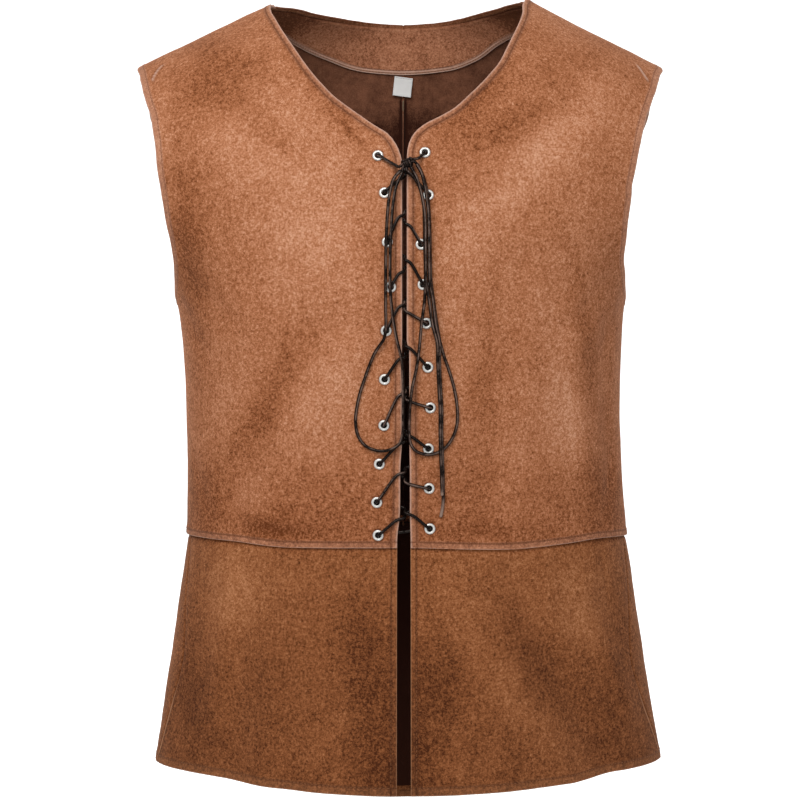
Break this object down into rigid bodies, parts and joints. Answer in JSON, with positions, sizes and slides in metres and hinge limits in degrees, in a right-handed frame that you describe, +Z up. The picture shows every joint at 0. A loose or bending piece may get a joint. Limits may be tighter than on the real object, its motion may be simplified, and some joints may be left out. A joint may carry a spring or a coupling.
{
  "type": "renaissance vest",
  "caption": "Sleeveless hip-length suede vest, laced up the front through metal eyelets with one long cord tied in a bow; waist seam, open neck and armholes.",
  "frame": {"origin": "on the shoulder line, midway between the two neck points, where the wearer's shoulders hold it up", "axes": "+Z up, -Y the front, +X the wearer's left"},
  "size_m": [0.4835, 0.273, 0.7761],
  "materials": {
    "suede": "brown suede cloth, soft nap, matt",
    "suede_facing": "the same suede cloth, in the shade of the neck",
    "label": "plain white satin tape, blank",
    "eyelet_metal": "bright nickel plate",
    "lace": "round waxed cord, black-brown, low gloss"
  },
  "bodies": {
    "root": {"front_bodice_right": "suede", "front_bodice_left": "suede", "back_bodice_right": "suede", "back_bodice_left": "suede", "front_skirt_right": "suede", "front_skirt_left": "suede", "back_skirt": "suede", "back_neck_facing": "suede_facing", "back_label": "label", "eyelet_right_01": "eyelet_metal", "eyelet_left_01": "eyelet_metal", "eyelet_right_02": "eyelet_metal", "eyelet_left_02": "eyelet_metal", "eyelet_right_03": "eyelet_metal", "eyelet_left_03": "eyelet_metal", "eyelet_right_04": "eyelet_metal", "eyelet_left_04": "eyelet_metal", "eyelet_right_05": "eyelet_metal", "eyelet_left_05": "eyelet_metal", "eyelet_right_06": "eyelet_metal", "eyelet_left_06": "eyelet_metal", "eyelet_right_07": "eyelet_metal", "eyelet_left_07": "eyelet_metal", "eyelet_right_08": "eyelet_metal", "eyelet_left_08": "eyelet_metal", "eyelet_right_09": "eyelet_metal", "eyelet_left_09": "eyelet_metal", "eyelet_right_10": "eyelet_metal", "eyelet_left_10": "eyelet_metal", "lacing_strand_a": "lace", "lacing_strand_b": "lace", "bow_loop_right": "lace", "bow_loop_left": "lace", "lace_end_1": "lace", "lace_end_2": "lace", "bow_knot": "lace"}
  },
  "joints": []
}
